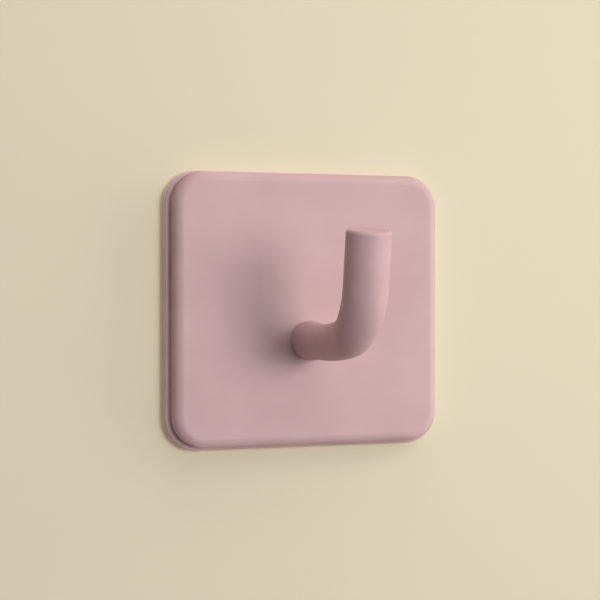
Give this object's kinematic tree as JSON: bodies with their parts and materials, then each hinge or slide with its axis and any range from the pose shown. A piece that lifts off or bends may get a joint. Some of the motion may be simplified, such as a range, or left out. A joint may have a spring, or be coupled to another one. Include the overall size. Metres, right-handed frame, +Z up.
{
  "type": "wall hook",
  "caption": "Square stick-on wall hook: a hollow cover plate with rounded edges on an adhesive back plate, and a stout round rod bent up into a J for hanging towels, coats or bags.",
  "frame": {"origin": "middle of the adhesive pad's face, where it meets the wall", "axes": "+Y into the wall, so the hook points along -Y; +Z up; +X to the right when facing the wall"},
  "size_m": [0.062, 0.0478, 0.06],
  "materials": {
    "foam_tape": "matte white closed-cell foam tape",
    "back_coat": "satin dusty pink moulding, coloured to match the coat",
    "plate_coat": "satin dusty pink coat",
    "rod_coat": "satin dusty pink coat",
    "screw_zinc": "bright zinc plating",
    "washer_steel": "blued spring steel"
  },
  "bodies": {
    "root": {"adhesive_pad": "foam_tape", "back_plate": "back_coat", "cover_plate": "plate_coat", "hook_rod": "rod_coat", "hook_screw": "screw_zinc", "lock_washer": "washer_steel"}
  },
  "joints": []
}
